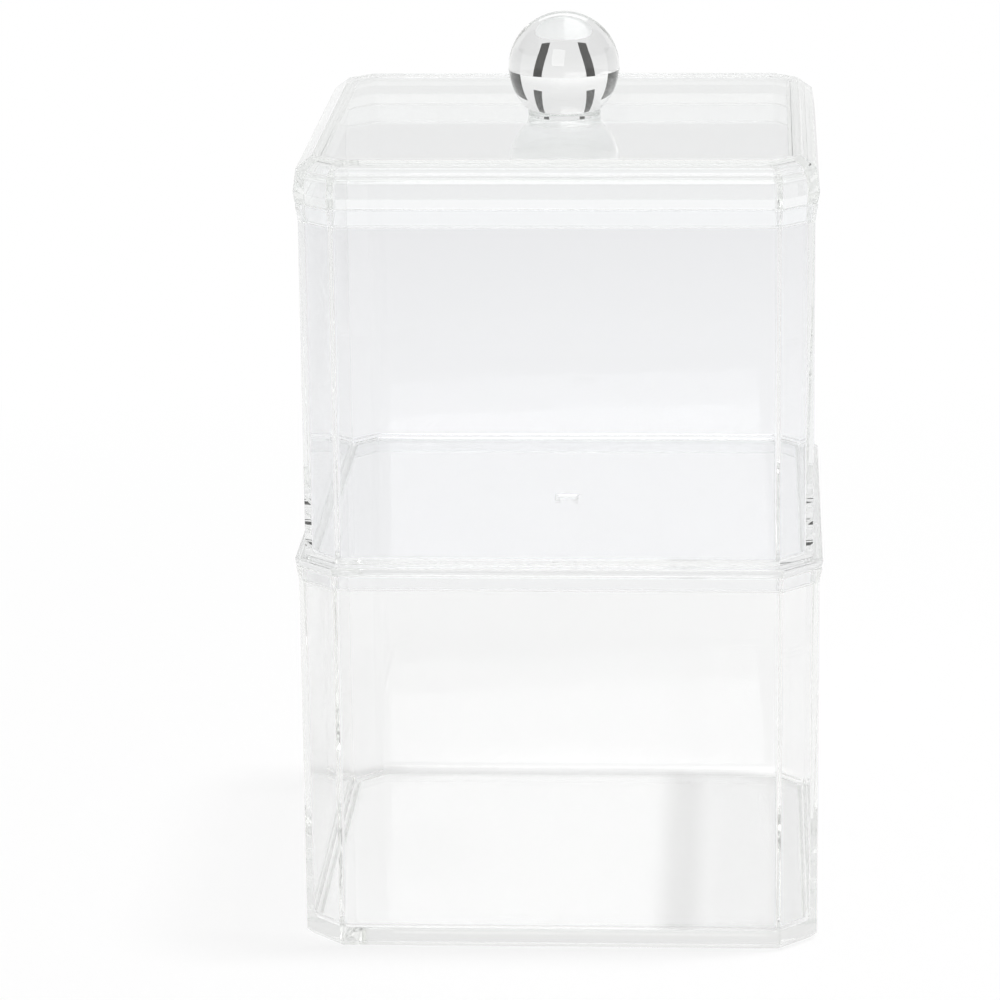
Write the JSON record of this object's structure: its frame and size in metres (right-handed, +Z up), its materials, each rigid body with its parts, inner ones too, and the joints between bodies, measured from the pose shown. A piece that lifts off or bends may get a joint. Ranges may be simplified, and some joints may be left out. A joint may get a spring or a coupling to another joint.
{
  "type": "two-tier lidded cosmetic box",
  "caption": "Clear square two-tier box with cut corners, a lift-off upper tier and a bevelled lift-off lid with a ball knob.",
  "frame": {"origin": "centre of the footprint, on the surface the box stands on", "axes": "+Z up, X across the front, -Y towards the front"},
  "size_m": [0.0972, 0.0972, 0.1684],
  "materials": {
    "clear_lower": "polished clear moulded plastic",
    "clear_upper": "polished clear moulded plastic",
    "clear_lid": "polished clear moulded plastic",
    "clear_knob": "polished solid clear plastic ball"
  },
  "bodies": {
    "lower_tier": {"lower_box": "clear_lower"},
    "upper_tier": {"upper_box": "clear_upper"},
    "lid_unit": {"lid": "clear_lid", "knob": "clear_knob"}
  },
  "joints": [
    {"name": "upper_tier_lift", "type": "slide", "parent": "lower_tier", "child": "upper_tier", "axis": [0, 0, 1], "range_m": [0, 0.1]},
    {"name": "lid_lift", "type": "slide", "parent": "upper_tier", "child": "lid_unit", "axis": [0, 0, 1], "range_m": [0, 0.08]}
  ]
}
